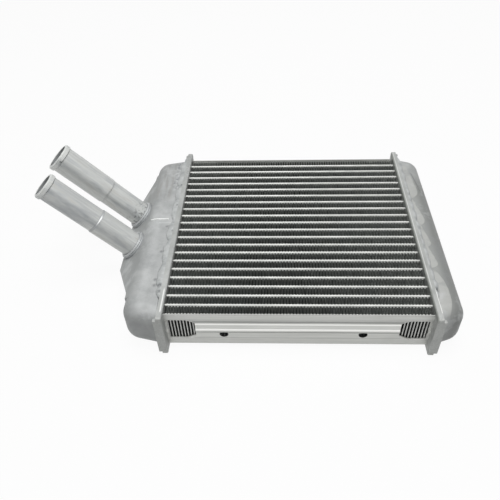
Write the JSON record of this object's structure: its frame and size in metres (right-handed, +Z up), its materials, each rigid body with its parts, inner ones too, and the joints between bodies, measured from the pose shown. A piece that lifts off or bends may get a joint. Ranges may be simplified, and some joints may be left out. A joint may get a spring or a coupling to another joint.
{
  "type": "heater core",
  "caption": "Aluminium heater core: a flat block of tubes and folded fins between pressed end tanks, with paired angled hose pipes at one end.",
  "frame": {"origin": "centre of the tube and fin block in plan, on the plane that the lower rims of both headers rest on", "axes": "+X along the flat tubes from the tank with pipes to the plain tank, +Y across the rows of tubes, +Z up through the block's thickness"},
  "size_m": [0.3052, 0.1966, 0.0935],
  "materials": {
    "tube_metal": "satin brazed",
    "fin_metal": "matt",
    "header_metal": "matt, etched by the braze",
    "tank_metal": "matt, etched by the braze",
    "plate_metal": "satin",
    "pipe_metal": "matt with drawn streaks",
    "collar_metal": "satin turned",
    "weld_metal": "bright, rippled"
  },
  "bodies": {
    "root": {"tube_01": "tube_metal", "tube_02": "tube_metal", "tube_03": "tube_metal", "tube_04": "tube_metal", "tube_05": "tube_metal", "tube_06": "tube_metal", "tube_07": "tube_metal", "tube_08": "tube_metal", "tube_09": "tube_metal", "tube_10": "tube_metal", "tube_11": "tube_metal", "tube_12": "tube_metal", "tube_13": "tube_metal", "tube_14": "tube_metal", "tube_15": "tube_metal", "tube_16": "tube_metal", "tube_17": "tube_metal", "tube_18": "tube_metal", "tube_19": "tube_metal", "tube_20": "tube_metal", "fin_01": "fin_metal", "fin_02": "fin_metal", "fin_03": "fin_metal", "fin_04": "fin_metal", "fin_05": "fin_metal", "fin_06": "fin_metal", "fin_07": "fin_metal", "fin_08": "fin_metal", "fin_09": "fin_metal", "fin_10": "fin_metal", "fin_11": "fin_metal", "fin_12": "fin_metal", "fin_13": "fin_metal", "fin_14": "fin_metal", "fin_15": "fin_metal", "fin_16": "fin_metal", "fin_17": "fin_metal", "fin_18": "fin_metal", "fin_19": "fin_metal", "fin_20": "fin_metal", "fin_21": "fin_metal", "header_left": "header_metal", "tank_left": "tank_metal", "weld_bead_left_top": "weld_metal", "weld_bead_left_bottom": "weld_metal", "header_right": "header_metal", "tank_right": "tank_metal", "weld_bead_right_top": "weld_metal", "weld_bead_right_bottom": "weld_metal", "side_plate_front": "plate_metal", "side_plate_back": "plate_metal", "baffle": "tank_metal", "pipe_front": "pipe_metal", "collar_front": "collar_metal", "pipe_back": "pipe_metal", "collar_back": "collar_metal"}
  },
  "joints": []
}
